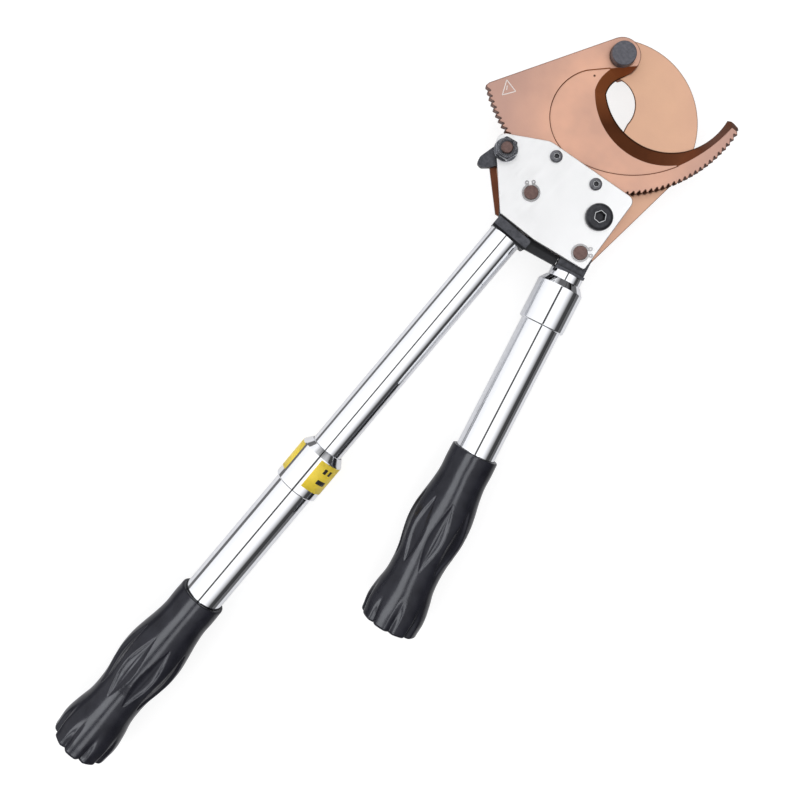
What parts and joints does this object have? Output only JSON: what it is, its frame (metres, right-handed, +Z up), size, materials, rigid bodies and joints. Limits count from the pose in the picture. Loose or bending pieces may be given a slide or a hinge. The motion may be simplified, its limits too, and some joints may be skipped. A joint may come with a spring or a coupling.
{
  "type": "ratchet cable cutter",
  "caption": "Ratchet cable cutter: toothed hook blade over a fixed hooked blade, bright head plates and two telescopic handles with black grips, one drawn out and one pushed in.",
  "frame": {"origin": "on the axis that the blades turn about, at the height of the flat rear face of the pivot nut", "axes": "+Z is up, out of the front plate, along the blades' axis; +Y runs from the fixed handle's grip towards the blades, along that handle; +X is towards the moving handle"},
  "size_m": [0.2518, 0.7573, 0.0565],
  "materials": {
    "blade_copper": "satin",
    "blade_tan": "satin",
    "plate_bright": "polished",
    "tube_chrome": "polished",
    "cast_black": "rough",
    "screw_black": "satin",
    "pin_steel": "turned",
    "pivot_grey": "satin",
    "zinc_steel": "plated",
    "spring_steel": "drawn",
    "ring_bright": "bright",
    "nylon": "smooth",
    "grip_rubber": "glossy"
  },
  "bodies": {
    "head": {"fixed_blade": "blade_tan", "pivot_pin": "pivot_grey", "pivot_washer": "zinc_steel", "pivot_nut": "zinc_steel", "front_plate": "plate_bright", "rear_plate": "plate_bright", "corner_bolt": "pin_steel", "corner_washer": "zinc_steel", "corner_nut": "zinc_steel", "guide_screws": "screw_black", "guide_pads": "nylon", "clamp_screw": "screw_black", "clamp_nut": "zinc_steel", "fixed_handle_bracket": "cast_black", "fixed_handle_pin": "pin_steel", "moving_handle_pin": "pin_steel", "retaining_rings": "ring_bright", "check_pawl_bush": "zinc_steel", "left_inner_tube": "tube_chrome", "left_tube_pin": "spring_steel", "left_guide_sleeve": "nylon"},
    "blade": {"moving_blade": "blade_copper"},
    "check_lever": {"check_pawl": "cast_black", "check_pawl_spring": "spring_steel"},
    "swing_handle": {"moving_handle_head": "cast_black", "drive_pawl_pin": "pin_steel", "right_inner_tube": "tube_chrome", "right_tube_pin": "spring_steel", "right_guide_sleeve": "nylon"},
    "drive_lever": {"drive_pawl": "zinc_steel", "drive_pawl_spring": "spring_steel"},
    "left_sleeve": {"left_outer_tube": "tube_chrome", "left_collet": "nylon", "left_grip": "grip_rubber"},
    "left_twist": {"left_collar": "tube_chrome"},
    "right_sleeve": {"right_outer_tube": "tube_chrome", "right_collet": "nylon", "right_grip": "grip_rubber"},
    "right_twist": {"right_collar": "tube_chrome"}
  },
  "joints": [
    {"name": "blade_turn", "type": "hinge", "parent": "head", "child": "blade", "pos_m": [0, 0, 0.027], "axis": [0, 0, 1], "range_deg": [-150, 32.5]},
    {"name": "check_pawl_tilt", "type": "hinge", "parent": "head", "child": "check_lever", "pos_m": [-0.0233, -0.1232, 0.027], "axis": [0, 0, 1], "range_deg": [-12, 6]},
    {"name": "handle_swing", "type": "hinge", "parent": "head", "child": "swing_handle", "pos_m": [0.0782, -0.1487, 0.027], "axis": [0, 0, 1], "range_deg": [0, 38]},
    {"name": "drive_pawl_tilt", "type": "hinge", "parent": "swing_handle", "child": "drive_lever", "pos_m": [0.046, -0.118, 0.027], "axis": [0, 0, 1], "range_deg": [-6, 8]},
    {"name": "left_telescope", "type": "slide", "parent": "head", "child": "left_sleeve", "axis": [0, 1, 0], "range_m": [0, 0.22]},
    {"name": "left_collar_twist", "type": "hinge", "parent": "left_sleeve", "child": "left_twist", "pos_m": [0.0226, -0.43, 0.027], "axis": [0, 1, 0], "range_deg": [0, 90]},
    {"name": "right_telescope", "type": "slide", "parent": "swing_handle", "child": "right_sleeve", "axis": [0.2241, -0.9746, 0], "range_m": [0, 0.22]},
    {"name": "right_collar_twist", "type": "hinge", "parent": "right_sleeve", "child": "right_twist", "pos_m": [0.08896, -0.19548, 0.027], "axis": [-0.2241, 0.9746, 0], "range_deg": [0, 90]}
  ]
}
